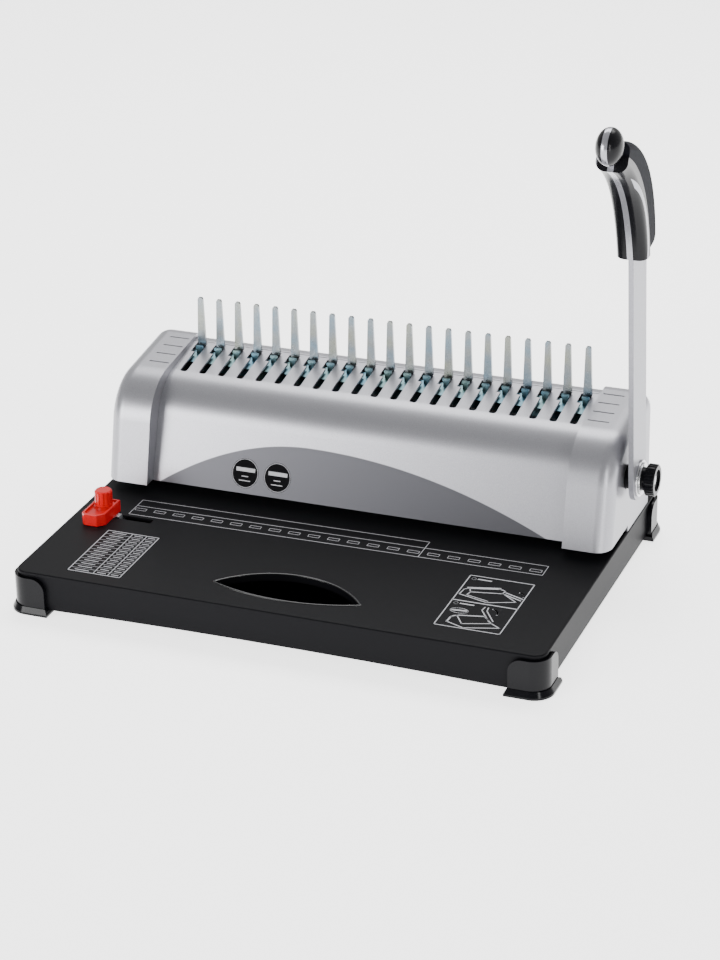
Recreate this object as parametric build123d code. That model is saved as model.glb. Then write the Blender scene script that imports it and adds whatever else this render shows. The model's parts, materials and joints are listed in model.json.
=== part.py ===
from build123d import *
import math
import os

# Plastic-comb punching and binding machine, in millimetres.
# X runs along the comb, -Y is the user's side and Z = 0 is the table.
# The shapes are drawn about the middle of the base; the export moves them so
# that the origin lies under the middle of the whole machine, pivot knob included.

# ---- driving sizes ----
HOLES = 21                 # holes punched along an A4 edge
PITCH = 14.2875            # 9/16 inch between holes
BASE_W = 368.0             # base, left to right
BASE_D = 262.0             # base, front to back
TOP_Z = 30.0               # height of the working surface
SKIRT_Z = 4.0              # lower edge of the skirt
SKIRT_BOW = 2.0            # how far the skirt's lower edge rises at mid-width
BASE_R = 9.0               # plan radius of the base's corners
PLATE_T = 2.0              # base top plate
SHEET_T = 1.5              # skirt, bottom plate and covers
LIP = 1.0                  # overhang of the top plate beyond the skirt
GAP = 0.3                  # clearance between pieces that move past each other
SEAT = 0.1                 # clearance between pieces that are assembled

THROAT_H = 4.6             # height of the paper throat
THROAT_END = 57.0          # how far back the paper goes
COVER_W = 303.0            # middle cover, left to right
COVER_Y = 20.0             # foot of the middle cover's front
COVER_KNEE_Y = 40.0        # where its front and its top would meet
COVER_KNEE_H = 69.3        # and the height of that line above the working surface
COVER_KNEE_R = 35.0
COVER_SEAM_Y = 99.0        # joint between the front and the rear cover
COVER_SLOPE = 0.17         # rise of the top per mm towards the back
REAR_Y = 117.0             # rear face of the housing
REAR_R = 14.0
CAP_Y = 10.0               # foot of the end caps' front
CAP_KNEE_Y = 25.3
CAP_KNEE_H = 73.5
CAP_KNEE_R = 37.0
CAP_SLOPE = 0.12
CAP_T = 2.5                # wall of an end cap
CAP_EDGE_R = 11.0          # rounding of the caps' outer edges
CAP_INSET = 0.6            # caps stand in from the base's sides by this
GROOVE_PITCH = 12.0        # grooves on top of the caps
GROOVES = 5

PUNCH_Y = 53.0             # line of the punch pins, the shaft and the lever pivot
SHAFT_H = 43.0             # shaft above the working surface
SHAFT_D = 10.0
STROKE = 8.0               # travel of the punch bar
PUNCH_ANGLE = 80.0         # lever travel that makes the stroke
PIN_X = 8.0                # punched hole, along the edge
PIN_Y = 3.0                # punched hole, across the edge
PIN_GAP = 0.1              # clearance of a pin in its guide, each side
DIE_T = 5.0
DIE_W = 22.0
GUIDE_T = 4.0
FRAME_X = 163.0            # inner face of the side frames
FRAME_T = 3.0
CAM_WALL = 0.7             # least metal between the shaft and a cam's edge
CAM_T = 10.0
CAM_X = 105.0
BAR_W = 18.0
BAR_H = 22.0               # underside of the punch bar above the working surface, at rest
POST_D = 5.0
POST_X = 155.5
SPRING_WIRE = 0.9

OPEN_ANGLE = 40.0          # backward lever travel that opens the comb
OPEN_TRAVEL = 22.6         # travel of the hooks
FINGER_R = 32.0            # shaft centre to the middle of the opener finger's round end
FINGER_TIP = 9.0
FINGER_W = 4.0
TINE_Y = 94.0
TINE_H = 115.4             # tips above the working surface
TINE_W = 6.2
TINE_TIP_W = 3.8
TINE_T = 2.0
SLOT_W = 5.2               # slots of the front cover
SLOT_Y = 59.5              # front end of the slots
NOTCH_W = 2.8              # widening at the back of each slot, to the left
NOTCH_Y = 85.5
HOOK_T = 1.6
HOOK_NECK = 4.2
HOOK_HEAD = 0.5            # overhang of a hook's head on each side of its neck
HOOK_Y = 88.2              # front of the upright hooks at rest
HOOK_FRONT = 77.0          # front of the sliding hook plate at rest
HOOK_TAB_Y0 = 80.0         # its guide tabs
HOOK_TAB_Y1 = 90.0
BUSH_D = 16.0
TIE_D = 8.0
TIE_Y = 98.5
TIE_H = (16.0, 46.0)

LEVER_T = 3.5
LEVER_W = 30.0
LEVER_GAP = 5.1            # end cap to the inner face of the lever
LEVER_BAR = 169.0          # pivot to the end of the full width
LEVER_L = 190.0            # pivot to the end of the tang, inside the grip
TANG_W = 14.0
LEAN = 5.0                 # lean of the lever towards the user at rest
WASHER_D = 25.0
WASHER_T = 1.4
KNOB_D = 22.0
KNOB_T = 7.0
KNOB_COLLAR_D = 16.0
KNOB_COLLAR_T = 2.2
HUB_D = 16.0

GRIP_X = 20.5              # width of the grip across the lever
GRIP_DEPTH = 36.0          # its greatest depth from front to back
GRIP_TAPER = 0.9           # how far the rear outline closes in at the ball
GRIP_BALL_Y = -31.0        # centre of the ball at its forward end
GRIP_BALL_H = 300.0        # and its height above the working surface
GRIP_BALL_D = 24.0         # seen from the side
GRIP_BALL_X = 17.0         # its width
PAD_SIDE = -0.3            # where the soft pad starts across the grip's depth
PAD_STEP = 0.6             # how far its sides lie inside the shell's

STOP_EDGE = 20.6           # base's left side to the side stop's knob axis at rest
STOP_Y = -33.7
STOP_TRAVEL = 20.0
STOP_W = 16.4
STOP_L = 28.4
STOP_H = 8.4
STOP_SLOT = 6.0
STOP_KNOB_D = 12.2
STOP_KNOB_H = 11.0
STUD_D = 4.0
STUD_HOLE = 4.1

TRAY_W = 30.0              # chip tray, front to back
TRAY_H = 15.0
WELL_X = 102.0             # lens-shaped finger opening
WELL_Y = -102.5
WELL_REAR = 25.5
WELL_FRONT = 10.2

FOOT_L = 22.0              # length of a foot along each side of the base
FOOT_OUT = 3.4             # how far it stands out of the skirt
FLANGE_OUT = 2.2           # how far its flange stands out of its body
FLANGE_H = 5.0
PAD_T = 1.2
SCREW_D = 3.2
SCREW_HOLE = 3.4

# ---- derived places ----
HALF_W, HALF_D = BASE_W / 2, BASE_D / 2
HOLE_X = [(i - (HOLES - 1) / 2) * PITCH for i in range(HOLES)]
COVER_LOW = TOP_Z + THROAT_H - 0.2
COVER_KNEE = (COVER_KNEE_Y, TOP_Z + COVER_KNEE_H)
CAP_KNEE = (CAP_KNEE_Y, TOP_Z + CAP_KNEE_H)
SHAFT_Z = TOP_Z + SHAFT_H
BAR_BOTTOM = TOP_Z + BAR_H
TINE_TOP = TOP_Z + TINE_H
TIE_Z = [TOP_Z + height for height in TIE_H]
GRIP_BALL_Z = TOP_Z + GRIP_BALL_H
FLOOR_Z = SKIRT_Z + SKIRT_BOW        # underside of the bottom plate
TRAY_Z = FLOOR_Z + SHEET_T + SEAT
LEVER_X = HALF_W - CAP_INSET + LEVER_GAP
STOP_X = STOP_EDGE - HALF_W
CAP_X = COVER_W / 2
CAP_W = HALF_W - CAP_INSET - CAP_X
LEVER_END = LEVER_X + LEVER_T
KNOB_X = LEVER_END + 2 * WASHER_T + SEAT
KNOB_END = KNOB_X + KNOB_COLLAR_T + KNOB_T
FOOT_EDGE = HALF_W - LIP + FOOT_OUT + FLANGE_OUT
ORIGIN_X = (KNOB_END - FOOT_EDGE) / 2
GUIDE_Z = TOP_Z + THROAT_H
CAM_E = STROKE / 2 / math.sin(math.radians(PUNCH_ANGLE / 2))
CAM_R = CAM_E + SHAFT_D / 2 + CAM_WALL
CAM_LOW = SHAFT_Z + STROKE / 2 - CAM_R
BAR_TOP = CAM_LOW - GAP
ARM_X = FRAME_X + FRAME_T + 5
ARM_LOW = TOP_Z + 9
FINGER_X0 = ARM_X + 1
FINGER_X1 = FINGER_X0 + 5
TAB_FACE_Y = PUNCH_Y + FINGER_R * math.sin(math.radians(OPEN_ANGLE / 2)) - FINGER_TIP / 2 - GAP

parts = {}


def box(x0, x1, y0, y1, z0, z1):
    """A block between two corners."""
    return Pos((x0 + x1) / 2, (y0 + y1) / 2, (z0 + z1) / 2) * Box(x1 - x0, y1 - y0, z1 - z0)


def rod_x(x0, x1, y, z, d):
    """A round bar along X."""
    return Pos((x0 + x1) / 2, y, z) * Rot(0, 90, 0) * Cylinder(d / 2, x1 - x0)


def rod_z(x, y, z0, z1, d):
    """A round bar along Z."""
    return Pos(x, y, (z0 + z1) / 2) * Cylinder(d / 2, z1 - z0)


def along_x(section, x0, x1):
    """A section drawn with Y across and Z up, extruded from x0 to x1."""
    face = Plane(origin=(x0, 0, 0), x_dir=(0, 1, 0), z_dir=(1, 0, 0)) * section
    return extrude(face, amount=x1 - x0, dir=(1, 0, 0))


def rounded_plate(w, d, r, z0, z1):
    """A plate with round plan corners."""
    return extrude(Pos(0, 0, z0) * RectangleRounded(w, d, r), z1 - z0)


def one(shapes):
    """Separate solids kept as one group."""
    return Compound([solid for shape in shapes for solid in shape.solids()])


def mirror_x(shape):
    return mirror(shape, about=Plane.YZ)


# ---- base ----
def lens(grow=0.0):
    """The outline of the finger opening: a long rear arc and a flatter front arc."""
    half = WELL_X / 2 + grow
    left, right = (-half, WELL_Y), (half, WELL_Y)
    rear = ThreePointArc(left, (0, WELL_Y + WELL_REAR + grow), right)
    front = ThreePointArc(right, (0, WELL_Y - WELL_FRONT - grow), left)
    return make_face(Wire([rear, front]))


def die_window(grow):
    """The opening in the base top that the die plate and the side frames stand in."""
    half = FRAME_X + FRAME_T + grow
    return box(-half, half, PUNCH_Y - DIE_W / 2 - grow, PUNCH_Y + DIE_W / 2 + grow,
               TOP_Z - 10, TOP_Z + 1)


def cover_screw_places():
    return [(x, REAR_Y - SHEET_T - 6.5) for x in (-120, -40, 40, 120)]


def frame_screw_places():
    return [(side * (FRAME_X + 11), y) for side in (-1, 1) for y in (72, 98)]


def make_screw(x, y, z_seat, length, d=SCREW_D):
    """A pan-head screw standing on z_seat with a cross slot in its head."""
    head = rod_z(x, y, z_seat, z_seat + 2, d * 1.9)
    head = fillet(head.faces().sort_by(Axis.Z)[-1].edges(), 0.8)
    head -= box(x - d, x + d, y - 0.4, y + 0.4, z_seat + 1, z_seat + 3)
    return head + rod_z(x, y, z_seat - length, z_seat, d)


def make_base():
    plate = rounded_plate(BASE_W, BASE_D, BASE_R, TOP_Z - PLATE_T, TOP_Z)
    plate = fillet(plate.faces().sort_by(Axis.Z)[-1].edges(), 1.2)
    skirt_w, skirt_d = BASE_W - 2 * LIP, BASE_D - 2 * LIP
    skirt = rounded_plate(skirt_w, skirt_d, BASE_R - LIP, SKIRT_Z, TOP_Z - PLATE_T)
    skirt -= rounded_plate(skirt_w - 2 * SHEET_T, skirt_d - 2 * SHEET_T, BASE_R - LIP - SHEET_T,
                           SKIRT_Z - 1, TOP_Z - PLATE_T)
    bow_half = HALF_W - FOOT_L - 10
    bow = ThreePointArc((-bow_half, SKIRT_Z), (0, SKIRT_Z + SKIRT_BOW), (bow_half, SKIRT_Z))
    under = make_face(Wire([bow, Line((bow_half, SKIRT_Z), (-bow_half, SKIRT_Z))]))
    skirt -= extrude(Plane.XZ * under, BASE_D, both=True)
    rolled = extrude(Pos(0, 0, TOP_Z - PLATE_T - 3) * lens(SHEET_T), 3)
    base = plate + skirt + rolled
    base -= extrude(Pos(0, 0, TOP_Z - PLATE_T - 4) * lens(), 8)
    base -= die_window(SEAT)
    slot_left = STOP_X - 3.5
    slot_right = STOP_X + STOP_W / 2 + 7 + STOP_TRAVEL + 0.6
    base -= box(slot_left, slot_right, STOP_Y - STOP_SLOT / 2, STOP_Y + STOP_SLOT / 2,
                TOP_Z - 10, TOP_Z + 1)
    tray_y = TRAY_W / 2 + GAP
    base -= box(-HALF_W - 1, -HALF_W + 12, PUNCH_Y - tray_y, PUNCH_Y + tray_y,
                TRAY_Z - GAP, TRAY_Z + TRAY_H + GAP)
    base -= [rod_z(x, y, TOP_Z - 10, TOP_Z + 10, SCREW_HOLE)
             for x, y in cover_screw_places() + frame_screw_places()]
    return base


def make_bottom_plate():
    clear = 2 * (LIP + SHEET_T + SEAT)
    plate = rounded_plate(BASE_W - clear, BASE_D - clear, BASE_R - LIP - SHEET_T,
                          FLOOR_Z, FLOOR_Z + SHEET_T)
    for x in (-foot_x(), foot_x()):
        for y in (-foot_y(), foot_y()):
            plate -= rod_z(x, y, 0, 20, 4.4)
    return plate


def foot_x():
    return HALF_W - 13


def foot_y():
    return HALF_D - 13


def make_foot():
    """Front right foot: a moulded corner around the skirt with a flared flange at the floor."""
    edge_x, edge_y = HALF_W - LIP + FOOT_OUT, HALF_D - LIP + FOOT_OUT
    inner_x, inner_y = edge_x - FOOT_L - FOOT_OUT, edge_y - FOOT_L - FOOT_OUT
    top = TOP_Z - PLATE_T - 1.5
    arch_r = 9.0
    middle = Pos((edge_x + inner_x) / 2, -(edge_y + inner_y) / 2, PAD_T / 2)
    side = edge_x - inner_x
    body = extrude(middle * Rectangle(side, side), top - PAD_T / 2)
    outer = body.edges().filter_by(Axis.Z).sort_by(lambda e: e.center().X - e.center().Y)[-1]
    body = fillet(outer, BASE_R + FOOT_OUT)
    left = body.faces().sort_by(Axis.Z)[-1].edges().filter_by(Axis.Y).sort_by(Axis.X)[0]
    body = fillet(left, arch_r)
    back = body.faces().sort_by(Axis.Z)[-1].edges().filter_by(Axis.X).sort_by(Axis.Y)[-1]
    body = fillet(back, arch_r)
    flange_side = side + 2 * FLANGE_OUT
    flange = extrude(middle * Rectangle(flange_side, flange_side), FLANGE_H)
    corner = flange.edges().filter_by(Axis.Z).sort_by(lambda e: e.center().X - e.center().Y)[-1]
    flange = fillet(corner, BASE_R + FOOT_OUT + FLANGE_OUT - 1)
    rim = flange.faces().sort_by(Axis.Z)[-1].edges()
    flange = chamfer(rim, FLANGE_H * 0.7, FLANGE_OUT - 0.4)
    foot = body + flange
    z_floor = FLOOR_Z - SEAT
    skirt_w, skirt_d = BASE_W - 2 * LIP, BASE_D - 2 * LIP
    foot -= rounded_plate(skirt_w + 2 * SEAT, skirt_d + 2 * SEAT, BASE_R - LIP + SEAT,
                          z_floor, TOP_Z + 20)
    ring = rounded_plate(skirt_w + 2 * SEAT, skirt_d + 2 * SEAT, BASE_R - LIP + SEAT,
                         SKIRT_Z - SEAT, z_floor + 1)
    inside = 2 * (SHEET_T + SEAT)
    ring -= rounded_plate(skirt_w - inside, skirt_d - inside, BASE_R - LIP - SHEET_T,
                          0, TOP_Z + 20)
    foot -= ring
    foot -= rod_z(foot_x(), -foot_y(), -1, TOP_Z, SCREW_HOLE)
    foot -= rod_z(foot_x(), -foot_y(), -1, PAD_T + 1.8, 12.4)
    return foot


def corners(shape):
    """The front right piece and its three mirror copies, named by corner."""
    left = mirror_x(shape)
    return {"front_right": shape, "front_left": left,
            "rear_right": mirror(shape, about=Plane.XZ), "rear_left": mirror(left, about=Plane.XZ)}


def make_foot_pad():
    pad = rod_z(foot_x(), -foot_y(), 0, PAD_T + 0.6, 12)
    pad -= rod_z(foot_x(), -foot_y(), -1, 5, 8)
    return pad


def make_foot_screw():
    head = rod_z(foot_x(), -foot_y(), PAD_T, PAD_T + 1.8 - SEAT / 2, 6.4)
    head -= box(foot_x() - 2.4, foot_x() + 2.4, -foot_y() - 0.5, -foot_y() + 0.5, PAD_T - 1, PAD_T + 0.8)
    return head + rod_z(foot_x(), -foot_y(), PAD_T, FLOOR_Z + SHEET_T + 3, SCREW_D)


parts["base_tray"] = make_base()
parts["bottom_plate"] = make_bottom_plate()
for corner_name, shape in corners(make_foot()).items():
    parts["foot_" + corner_name] = shape
parts["foot_pads"] = one(corners(make_foot_pad()).values())
parts["foot_screws"] = one(corners(make_foot_screw()).values())


# ---- covers ----
def casing_section(foot, meet, slope, knee_r):
    """Outline of a casing: up the front, round the knee, along the rising top and down the back.
    It runs below the working surface, and what it is cut from is trimmed afterwards."""
    drop = 16.0
    lean = (meet[0] - foot[0]) / (meet[1] - foot[1])
    start = (foot[0] - lean * drop, foot[1] - drop)
    top_end = (REAR_Y, meet[1] + slope * (REAR_Y - meet[0]))
    face = make_face(Polyline(start, meet, top_end, (REAR_Y, start[1]), close=True))
    knee = face.vertices().sort_by_distance(meet)[0]
    face = fillet(knee, knee_r)
    back = face.vertices().sort_by_distance(top_end)[0]
    return fillet(back, REAR_R)


def middle_section():
    return casing_section((COVER_Y, COVER_LOW), COVER_KNEE, COVER_SLOPE, COVER_KNEE_R)


def cover_z(y):
    """Height of the middle cover's straight top."""
    return COVER_KNEE[1] + COVER_SLOPE * (y - COVER_KNEE[0])


def below(z, y0, y1):
    return box(-HALF_W, HALF_W, y0, y1, -20, z)


def make_middle_shell():
    outer = middle_section()
    shell = along_x(outer, -CAP_X + SEAT, CAP_X - SEAT)
    shell -= along_x(offset(outer, -SHEET_T, kind=Kind.INTERSECTION), -CAP_X, CAP_X)
    return shell


def make_front_cover():
    cover = make_middle_shell() - below(COVER_LOW, -40, REAR_Y + 5)
    cover -= box(-HALF_W, HALF_W, COVER_SEAM_Y, REAR_Y + 5, 0, TOP_Z + 130)
    slots = []
    slot_end = TINE_Y + TINE_T / 2 + 2.2
    low, high = TOP_Z + 50, TOP_Z + 100
    for x in HOLE_X:
        narrow = box(x - SLOT_W / 2, x + SLOT_W / 2, SLOT_Y, slot_end, low, high)
        front = narrow.edges().filter_by(Axis.Z).group_by(Axis.Y)[0]
        slots.append(fillet(front, SLOT_W * 0.35))
        slots.append(box(x - SLOT_W / 2 - NOTCH_W, x, NOTCH_Y, slot_end, low, high))
    return cover - slots


def make_rear_cover():
    cover = make_middle_shell() - below(TOP_Z + SEAT, -40, REAR_Y + 5)
    cover -= box(-HALF_W, HALF_W, -40, COVER_SEAM_Y + 0.6, 0, TOP_Z + 130)
    # a flange along the bottom lies on the base and takes the screws
    y = REAR_Y - SHEET_T
    cover += box(-CAP_X + SEAT, CAP_X - SEAT, y - 12, y + 0.2, TOP_Z + SEAT, TOP_Z + SEAT + SHEET_T)
    cover -= [rod_z(x, screw_y, TOP_Z, TOP_Z + 10, SCREW_HOLE) for x, screw_y in cover_screw_places()]
    return cover


def make_end_cap():
    """Right end cap: a moulded shell, open below, with a web that meets the middle cover."""
    section = casing_section((CAP_Y, COVER_LOW), CAP_KNEE, CAP_SLOPE, CAP_KNEE_R)
    cap = along_x(section, CAP_X, CAP_X + CAP_W)
    rim = cap.faces().sort_by(Axis.X)[-1].edges()
    rim = [e for e in rim if e.center().Z > COVER_LOW - 14]
    cap = fillet(rim, CAP_EDGE_R)
    inner = offset(section, -CAP_T, kind=Kind.INTERSECTION)
    cavity = along_x(inner, CAP_X + CAP_T, CAP_X + CAP_W - CAP_T)
    cavity_rim = [e for e in cavity.faces().sort_by(Axis.X)[-1].edges() if e.center().Z > COVER_LOW - 10]
    cap -= fillet(cavity_rim, CAP_EDGE_R - CAP_T)
    cap -= along_x(offset(middle_section(), -SHEET_T, kind=Kind.INTERSECTION), CAP_X - 1, CAP_X + CAP_T + 1)
    cap -= below(COVER_LOW, -40, THROAT_END + GAP)
    cap -= below(TOP_Z + SEAT, -40, REAR_Y + 5)
    for i in range(GROOVES):
        y = REAR_Y - 10 - i * GROOVE_PITCH
        z = CAP_KNEE[1] + CAP_SLOPE * (y - CAP_KNEE[0])
        cap -= box(CAP_X + 1.8, CAP_X + 16.8, y - 0.6, y + 0.6, z - 0.9, z + 5)
    return cap


def make_hub_hole():
    return rod_x(CAP_X, HALF_W + 5, PUNCH_Y, SHAFT_Z, HUB_D + 1.2)


parts["front_cover"] = make_front_cover()
parts["rear_cover"] = make_rear_cover()
parts["right_end_cap"] = make_end_cap() - make_hub_hole()
parts["left_end_cap"] = mirror_x(make_end_cap())
parts["cover_screws"] = one(
    make_screw(x, y, TOP_Z + SEAT + SHEET_T, 8) for x, y in cover_screw_places())


# ---- punch frame ----
def hook_z(y):
    """Top of the hook plate at rest, just under the sloping cover."""
    return cover_z(y) - SHEET_T - 1.3


def make_side_frame():
    """Right side frame: a plate with a tongue through the base and an out-turned foot."""
    tongue = DIE_W / 2
    outline = Polyline((36, TOP_Z + SEAT), (36, TOP_Z + 54), (50, TOP_Z + 71.5),
                       (104, TOP_Z + 76.6), (104, TOP_Z + SEAT),
                       (PUNCH_Y + tongue, TOP_Z + SEAT), (PUNCH_Y + tongue, TOP_Z - DIE_T),
                       (PUNCH_Y - tongue, TOP_Z - DIE_T), (PUNCH_Y - tongue, TOP_Z + SEAT), close=True)
    frame = along_x(make_face(outline), FRAME_X, FRAME_X + FRAME_T)
    frame += box(FRAME_X + FRAME_T, FRAME_X + 15, PUNCH_Y + tongue + 1, 104, TOP_Z + SEAT,
                 TOP_Z + SEAT + FRAME_T)
    frame -= rod_x(FRAME_X - 1, FRAME_X + FRAME_T + 1, PUNCH_Y, SHAFT_Z, BUSH_D + 2 * 0.02)
    # the hook plate's tab runs in a sloping slot
    y0, y1 = HOOK_TAB_Y0 - OPEN_TRAVEL - 1, HOOK_TAB_Y1 + GAP
    top, low = 0.15, HOOK_T + 0.15
    slot = Polyline((y0, hook_z(y0) + top), (y1, hook_z(y1) + top), (y1, hook_z(y1) - low),
                    (y0, hook_z(y0) - low), close=True)
    frame -= along_x(make_face(slot), FRAME_X - 1, FRAME_X + FRAME_T + 1)
    frame -= [rod_z(x, y, TOP_Z - 10, TOP_Z + 10, SCREW_HOLE) for x, y in frame_screw_places()]
    frame -= [rod_x(FRAME_X - 1, FRAME_X + FRAME_T + 1, TIE_Y, z, TIE_D / 2) for z in TIE_Z]
    return frame


def make_tie_rods():
    """Spacer rods between the side frames, with a spigot riveted into each frame."""
    return one(rod_x(-FRAME_X, FRAME_X, TIE_Y, z, TIE_D)
               + rod_x(-FRAME_X - FRAME_T, FRAME_X + FRAME_T, TIE_Y, z, TIE_D / 2 - 0.04)
               for z in TIE_Z)


def pin_holes(z0, z1, grow):
    return [box(x - PIN_X / 2 - grow, x + PIN_X / 2 + grow, PUNCH_Y - PIN_Y / 2 - grow,
                PUNCH_Y + PIN_Y / 2 + grow, z0, z1) for x in HOLE_X]


def post_places():
    return [-POST_X, POST_X]


def make_die():
    half = DIE_W / 2
    die = box(-FRAME_X, FRAME_X, PUNCH_Y - half, PUNCH_Y + half, TOP_Z - DIE_T, TOP_Z)
    return die - pin_holes(TOP_Z - DIE_T - 1, TOP_Z + 1, PIN_GAP)


def make_spacer():
    return box(-FRAME_X, FRAME_X, THROAT_END, PUNCH_Y + BAR_W / 2, TOP_Z, GUIDE_Z)


def make_guide():
    half = BAR_W / 2
    guide = box(-FRAME_X, FRAME_X, PUNCH_Y - half, PUNCH_Y + half, GUIDE_Z, GUIDE_Z + GUIDE_T)
    guide -= pin_holes(GUIDE_Z - 1, GUIDE_Z + GUIDE_T + 1, PIN_GAP)
    return guide - [rod_z(x, PUNCH_Y, GUIDE_Z - 1, GUIDE_Z + GUIDE_T + 1, POST_D) for x in post_places()]


def make_posts():
    return one(rod_z(x, PUNCH_Y, GUIDE_Z, BAR_TOP + 2.8, POST_D) for x in post_places())


def coil(radius, wire, length, turns):
    """A coil spring standing on Z = 0."""
    path = Helix(pitch=(length - wire) / turns, height=length - wire, radius=radius)
    section = Plane(origin=path @ 0, z_dir=path % 0) * Circle(wire / 2)
    return Pos(0, 0, wire / 2) * sweep(section, path=path, is_frenet=True)


def make_punch_springs():
    low, high = GUIDE_Z + GUIDE_T + SEAT, BAR_BOTTOM - SEAT
    spring = coil(POST_D / 2 + GAP + SPRING_WIRE / 2, SPRING_WIRE, high - low, 4.5)
    return one(Pos(x, PUNCH_Y, low) * spring for x in post_places())


def make_bushes():
    bush = rod_x(FRAME_X - 1.5, FRAME_X + FRAME_T + 1.5, PUNCH_Y, SHAFT_Z, BUSH_D)
    bush -= rod_x(FRAME_X - 5, FRAME_X + 9, PUNCH_Y, SHAFT_Z, SHAFT_D + 0.1)
    return one([bush, mirror_x(bush)])


# ---- punch bar ----
def make_punch_bar():
    half = BAR_W / 2
    bar = box(-FRAME_X + 3, FRAME_X - 3, PUNCH_Y - half, PUNCH_Y + half, BAR_BOTTOM, BAR_TOP)
    bar = chamfer(bar.edges().filter_by(Axis.X), 0.8)
    bar -= pin_holes(BAR_BOTTOM - 1, BAR_BOTTOM + 5, 0)
    return bar - [rod_z(x, PUNCH_Y, BAR_BOTTOM - 10, BAR_TOP + 10, POST_D + 0.1) for x in post_places()]


def make_pins():
    """Punch pins, each with a shallow vee at its cutting end."""
    pins = []
    low = GUIDE_Z + 0.6
    for x in HOLE_X:
        pin = box(x - PIN_X / 2, x + PIN_X / 2, PUNCH_Y - PIN_Y / 2, PUNCH_Y + PIN_Y / 2,
                  low, BAR_BOTTOM + 5)
        vee = Polyline((x - PIN_X / 2 + 0.8, low), (x, low + 1.2), (x + PIN_X / 2 - 0.8, low), close=True)
        pins.append(pin - extrude(Plane.XZ.offset(-PUNCH_Y) * make_face(vee), PIN_Y, both=True))
    return one(pins)


# ---- comb rake and hooks ----
def make_rake():
    """A plate behind the hooks, cut into tall tapering tines."""
    base_low, base_high = TOP_Z + 56, cover_z(TINE_Y) - SHEET_T - 3.4
    rake = box(-FRAME_X, FRAME_X, TINE_Y - TINE_T / 2, TINE_Y + TINE_T / 2, base_low, base_high)
    shoulder = cover_z(TINE_Y) + 0.8
    for x in HOLE_X:
        root, foot, tip = SLOT_W / 2 - 0.5, TINE_W / 2, TINE_TIP_W / 2
        right = [(x + root, base_high - 1), (x + root, shoulder), (x + foot, shoulder + 0.6),
                 (x + tip, TINE_TOP - 1.2), (x + tip - 0.8, TINE_TOP)]
        left = [(2 * x - a, b) for a, b in reversed(right)]
        tine = make_face(Polyline(*right, *left, close=True))
        rake += extrude(Plane.XZ.offset(-TINE_Y) * tine, TINE_T / 2, both=True)
    return rake


def make_hook_plate():
    """Sliding plate with a bent front lip, two guide tabs and one upright hook per slot."""
    y0, y1 = HOOK_FRONT, TINE_Y - TINE_T / 2 - 0.6
    lip = 6.0
    section = Polyline((y0, hook_z(y0)), (y1, hook_z(y1)), (y1, hook_z(y1) - HOOK_T),
                       (y0 + HOOK_T, hook_z(y0 + HOOK_T) - HOOK_T), (y0 + HOOK_T, hook_z(y0) - lip),
                       (y0, hook_z(y0) - lip), close=True)
    plate = along_x(make_face(section), -FRAME_X + 4, FRAME_X - 4)
    ta, tb = HOOK_TAB_Y0, HOOK_TAB_Y1
    tab = Polyline((ta, hook_z(ta)), (tb, hook_z(tb)), (tb, hook_z(tb) - HOOK_T),
                   (ta, hook_z(ta) - HOOK_T), close=True)
    plate += along_x(make_face(tab), -ARM_X, ARM_X)
    y = HOOK_Y
    head_low = cover_z(y) + 1.0
    for x in HOLE_X:
        neck = box(x - HOOK_NECK / 2, x + HOOK_NECK / 2, y, y + HOOK_T, hook_z(y) - 0.5, head_low + 0.5)
        half = HOOK_NECK / 2 + HOOK_HEAD
        head = box(x - half, x + half, y, y + HOOK_T, head_low, head_low + 1.8)
        plate += neck + head
    return plate


def make_opener_arm():
    """Arm that hangs behind the shaft and reaches under it to the finger."""
    rear = HOOK_TAB_Y1
    front = PUNCH_Y + SHAFT_D / 2 + OPEN_TRAVEL + 1.4
    outline = Polyline((front, ARM_LOW + 10), (front, hook_z(front) - HOOK_T - SEAT),
                       (rear, hook_z(rear) - HOOK_T - SEAT), (rear, ARM_LOW), (TAB_FACE_Y - 3, ARM_LOW),
                       (TAB_FACE_Y - 3, ARM_LOW + 10), close=True)
    arm = along_x(make_face(outline), ARM_X - 2.5, ARM_X)
    arm += box(ARM_X - 1, FINGER_X1 + 1, TAB_FACE_Y - 3, TAB_FACE_Y, ARM_LOW, ARM_LOW + 10)
    return arm


def make_hook_springs():
    """Two return springs between the hook plate's lip and the rake."""
    low, high = HOOK_FRONT + HOOK_T + SEAT, TINE_Y - TINE_T / 2 - SEAT
    spring = Rot(-90, 0, 0) * coil(2.4, 0.7, high - low, 5)
    z = hook_z(HOOK_FRONT) - HOOK_T - 3.4
    return one(Pos(x, low, z) * spring for x in (-HOLE_X[-1] + PITCH / 2, HOLE_X[-1] - PITCH / 2))


# ---- shaft, cams and pivot ----
def make_shaft():
    shaft = rod_x(-FRAME_X - 8, KNOB_X - SEAT, PUNCH_Y, SHAFT_Z, SHAFT_D)
    return shaft + rod_x(KNOB_X - 1, KNOB_END - 1.5, PUNCH_Y, SHAFT_Z, SHAFT_D - 4)


def make_cam(x):
    """Eccentric disc: its lowest point drops by the stroke as the shaft turns forward."""
    start = math.radians(180 - PUNCH_ANGLE / 2)
    y, z = PUNCH_Y + CAM_E * math.cos(start), SHAFT_Z + CAM_E * math.sin(start)
    cam = rod_x(x - CAM_T / 2, x + CAM_T / 2, y, z, 2 * CAM_R)
    return cam - rod_x(x - CAM_T, x + CAM_T, PUNCH_Y, SHAFT_Z, SHAFT_D + 0.02)


def make_washers():
    washers = []
    for i in range(2):
        x = LEVER_END + i * WASHER_T
        washer = rod_x(x + 0.05, x + WASHER_T - 0.05, PUNCH_Y, SHAFT_Z, WASHER_D - 3 * i)
        washer = fillet(washer.edges().filter_by(GeomType.CIRCLE), 0.3)
        washers.append(washer - rod_x(x - 1, x + 4, PUNCH_Y, SHAFT_Z, SHAFT_D + 0.04))
    return one(washers)


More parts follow.
